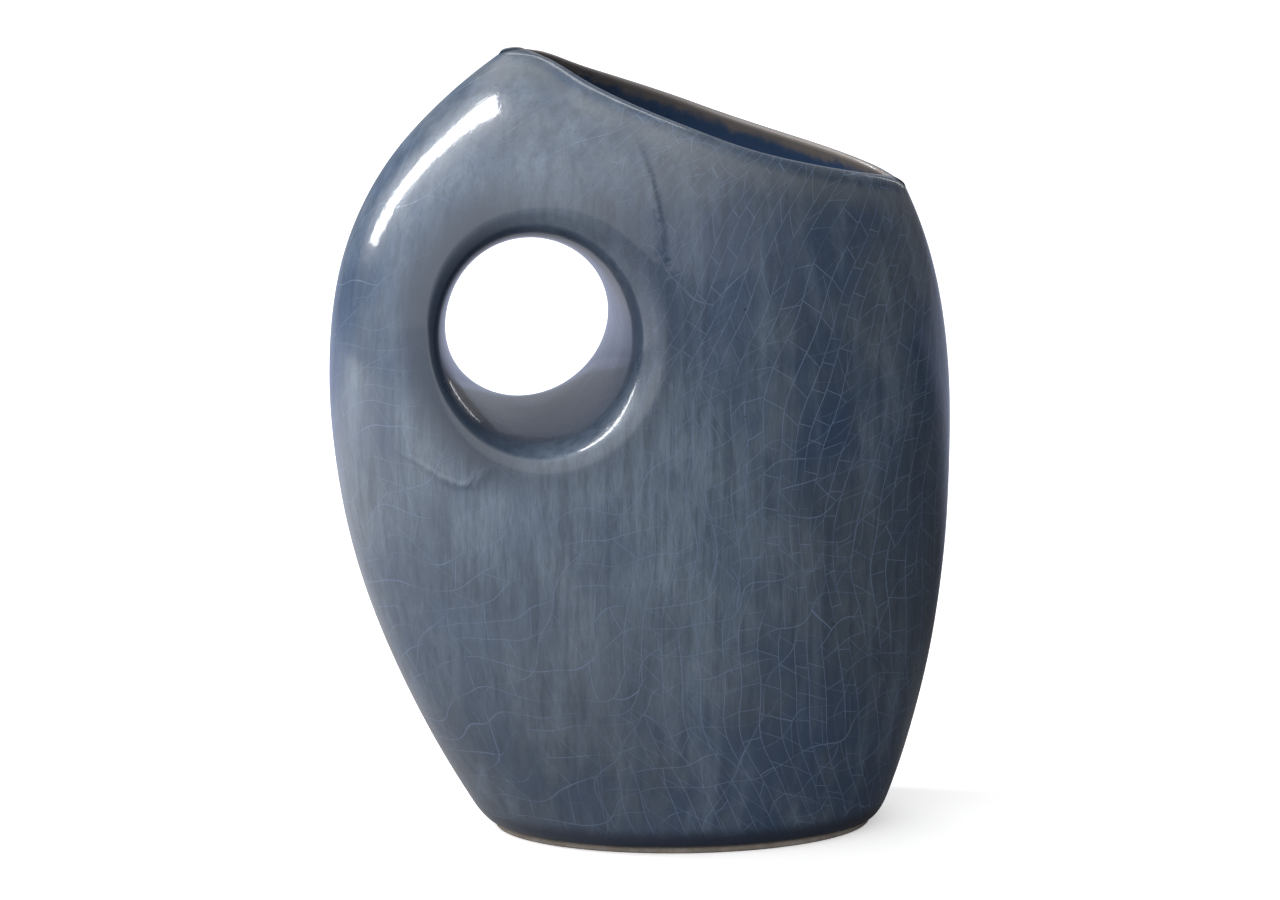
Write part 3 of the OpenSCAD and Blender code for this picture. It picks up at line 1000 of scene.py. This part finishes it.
def studio_white():
    """Floor that the camera sees as plain white. Reflections and bounced light meet it
    pale on the left, dark on the right and lavender behind the vase."""
    g = Graph("studio_white")
    g.shader.inputs["Roughness"].default_value = 0.9
    g.shader.inputs["Specular IOR Level"].default_value = 0.0
    seen = g.node("ShaderNodeLightPath").outputs["Is Camera Ray"]
    place = g.node("ShaderNodeTexCoord").outputs["Object"]
    parts = g.node("ShaderNodeSeparateXYZ", {0: place})
    shade = g.span(parts.outputs[0], *FLOOR_DARKENS)
    thrown = g.colours(shade, FLOOR_PALE, FLOOR_DARK)
    thrown = g.colours(g.span(parts.outputs[1], *FLOOR_TURNS), thrown, FLOOR_BEHIND)
    g.shader.inputs["Emission Color"].default_value = WHITE
    g.put(g.shader.inputs["Emission Strength"], g.math("MULTIPLY", seen, FLOOR_GLOW))
    g.put(g.shader.inputs["Base Color"], g.colours(seen, thrown, FLOOR_SEEN))
    return g.material


# ---- The vase ---------------------------------------------------------------------


def build_vase():
    """Builds and shapes the five pieces, hangs them under the root and hides the CAD parts that
    they show.
    """
    made = {
        "front_wall_glazed": (wall(-1), "front_wall"),
        "rear_wall_glazed": (wall(1), "rear_wall"),
        "hand_hole_sleeve_glazed": (sleeve(), "hand_hole_sleeve"),
        "floor_slab_glazed": (floor_slab(), "floor_slab"),
    }
    pieces = [piece for piece, _ in made.values()]
    for piece, normals in zip(pieces, shared_normals(pieces)):
        shift = inward(piece["points"]) * piece["skin"]
        roll = crest_roll(piece["points"]) * piece["skin"] * np.sign(piece["points"][:, 1])
        piece["points"] = piece["points"] - normals * shift[:, None]
        piece["points"][:, 1] -= roll
    glaze, clay = crackle_glaze(), bare_clay()
    for (name, (piece, node)), normals in zip(made.items(), shared_normals(pieces)):
        seen = make_object(name, piece, normals, glaze)
        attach(seen, "root")
        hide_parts(node)
    ring = make_object("foot_ring_bare", foot_ring(), None, clay)
    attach(ring, "root")
    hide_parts("foot_ring")


build_vase()


# ---- Studio -----------------------------------------------------------------------

TARGET = Vector((0, 0, 121 * MM))  # what the lights face
AIM = Vector((0, 0, 125 * MM))  # what the camera faces, before its shift
CAMERA_WAY = (-4.5, 12.2)  # azimuth and elevation in degrees
CAMERA_DISTANCE = 2.0
LENS = 178.9
FLOOR_HALF = 8.0

# The studio's glow: its azimuth and elevation, how far off it reaches, how bright it is.
GLOW_WAY = (-29, 32)
GLOW = {"From Min": 0.1, "From Max": 1.0, "To Min": 0.12, "To Max": 1.5}


def studio_floor():
    """A square floor at the height of the vase's foot."""
    mesh = bpy.data.meshes.new("studio_floor")
    turns = [(-1, -1), (1, -1), (1, 1), (-1, 1)]
    corners = [(FLOOR_HALF * x, FLOOR_HALF * y, 0) for x, y in turns]
    mesh.from_pydata(corners, [], [(0, 1, 2, 3)])
    mesh.materials.append(studio_white())
    made = bpy.data.objects.new("studio_floor", mesh)
    bpy.context.scene.collection.objects.link(made)


def direction(azimuth, elevation):
    """Unit vector from the vase; azimuth 0 is the front and 90 the right."""
    a, e = math.radians(azimuth), math.radians(elevation)
    return Vector((math.sin(a) * math.cos(e), -math.cos(a) * math.cos(e), math.sin(e)))


def softbox(name, azimuth, elevation, distance, width, height, brightness, colour=(1, 1, 1)):
    """A rectangular light in metres that faces the vase. brightness is its radiance."""
    light = bpy.data.lights.new(name, "AREA")
    light.color = colour
    light.shape = "RECTANGLE"
    light.size = width
    light.size_y = height
    light.energy = brightness * math.pi * width * height
    made = bpy.data.objects.new(name, light)
    way = direction(azimuth, elevation)
    made.location = TARGET + way * distance
    made.rotation_euler = way.to_track_quat("Z", "Y").to_euler()
    bpy.context.scene.collection.objects.link(made)


def studio_lights():
    """Softboxes, given as azimuth, elevation, distance, width, height and brightness,
    and a world that glows softly from the upper left."""
    softbox("edge_softbox", -101, 37, 1.5, 0.25, 1.3, 20.0)
    softbox("back_panel", -168, 14, 1.8, 2.2, 1.4, 0.26, (0.7, 0.8, 1.0))
    softbox("rim_softbox", 148, 16, 1.8, 0.05, 0.8, 4.0)
    softbox("top_softbox", 180, 62, 2.4, 1.8, 0.5, 3.0)
    world = bpy.data.worlds.new("studio")
    world.use_nodes = True
    tree = world.node_tree
    background = tree.nodes["Background"]
    background.inputs["Color"].default_value = WHITE
    way = tree.nodes.new("ShaderNodeTexCoord")
    towards = tree.nodes.new("ShaderNodeVectorMath")
    towards.operation = "DOT_PRODUCT"
    towards.inputs[1].default_value = direction(*GLOW_WAY)
    glow = tree.nodes.new("ShaderNodeMapRange")
    glow.interpolation_type = "SMOOTHSTEP"
    for key, value in GLOW.items():
        glow.inputs[key].default_value = value
    tree.links.new(way.outputs["Generated"], towards.inputs[0])
    tree.links.new(towards.outputs["Value"], glow.inputs["Value"])
    tree.links.new(glow.outputs[0], background.inputs["Strength"])
    bpy.context.scene.world = world


def camera():
    """The camera, at the photograph's viewing angle."""
    made = bpy.data.cameras.new("camera")
    made.sensor_width = 36
    made.lens = LENS
    made.dof.use_dof = False
    made.clip_start = 0.05
    made.clip_end = 50
    holder = bpy.data.objects.new("camera", made)
    way = direction(*CAMERA_WAY)
    holder.location = AIM + way * CAMERA_DISTANCE
    holder.rotation_euler = way.to_track_quat("Z", "Y").to_euler()
    made.shift_x = -0.0006
    made.shift_y = -0.01
    bpy.context.scene.collection.objects.link(holder)
    bpy.context.scene.camera = holder


studio_floor()
studio_lights()
camera()
bpy.context.scene.view_settings.view_transform = "Standard"
